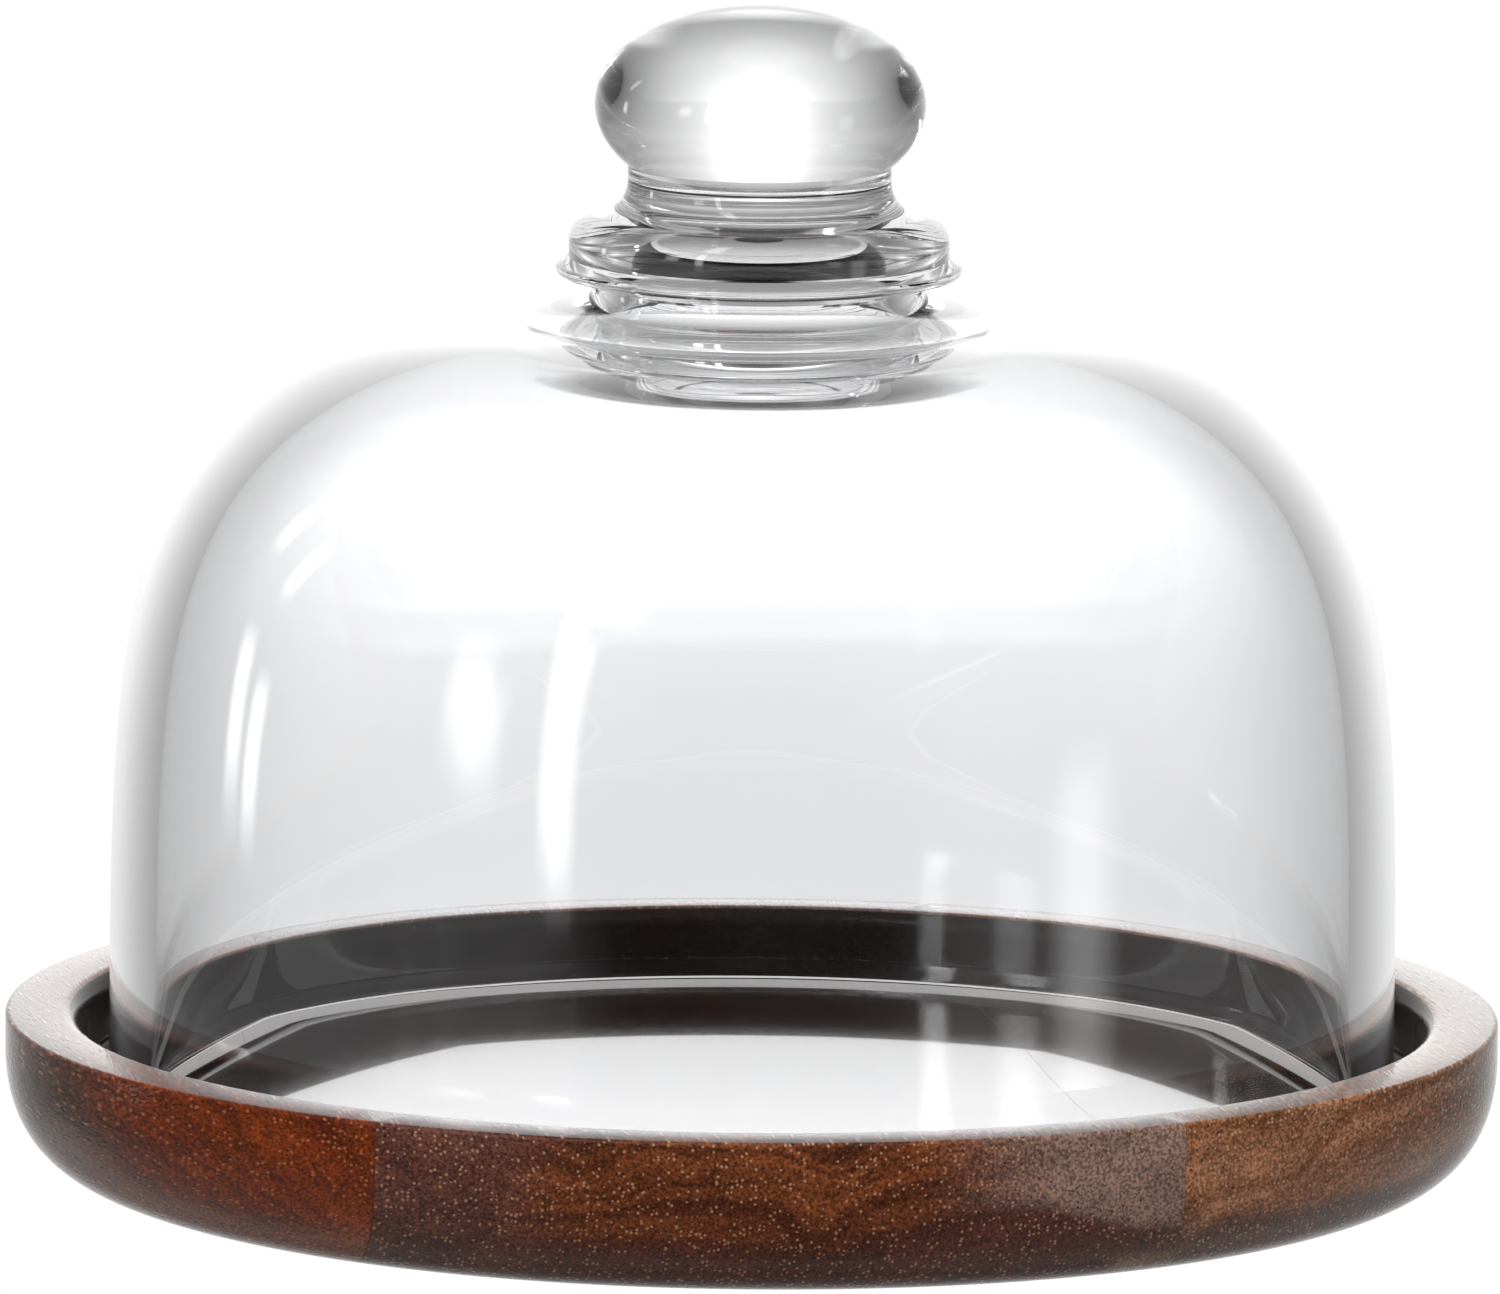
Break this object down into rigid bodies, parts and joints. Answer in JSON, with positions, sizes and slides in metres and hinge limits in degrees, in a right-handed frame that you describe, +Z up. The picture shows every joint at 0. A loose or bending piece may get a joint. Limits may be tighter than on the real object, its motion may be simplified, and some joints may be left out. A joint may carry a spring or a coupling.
{
  "type": "bell jar dome",
  "caption": "Clear glass bell with a collared ball knob, standing in the recess of a round turned hardwood tray, to cover food or a small exhibit.",
  "frame": {"origin": "centre of the tray's flat underside", "axes": "+Z up along the turning axis that every piece shares; the tray's front is -Y, and its grain runs 10 degrees anticlockwise of +Y"},
  "size_m": [0.2, 0.2, 0.1581],
  "materials": {
    "clear_glass": "clear, fire-polished",
    "lacquered_wood_left": "orange-brown acacia under gloss lacquer",
    "lacquered_wood_middle": "dark brown acacia under gloss lacquer",
    "lacquered_wood_right": "mid-brown acacia under gloss lacquer"
  },
  "bodies": {
    "tray": {"tray_board_left": "lacquered_wood_left", "tray_board_middle": "lacquered_wood_middle", "tray_board_right": "lacquered_wood_right"},
    "lid": {"bell_shell": "clear_glass", "neck_collar": "clear_glass", "lifting_knob": "clear_glass"}
  },
  "joints": [
    {"name": "lid_lift", "type": "slide", "parent": "tray", "child": "lid", "axis": [0, 0, 1], "range_m": [0, 0.15]}
  ]
}
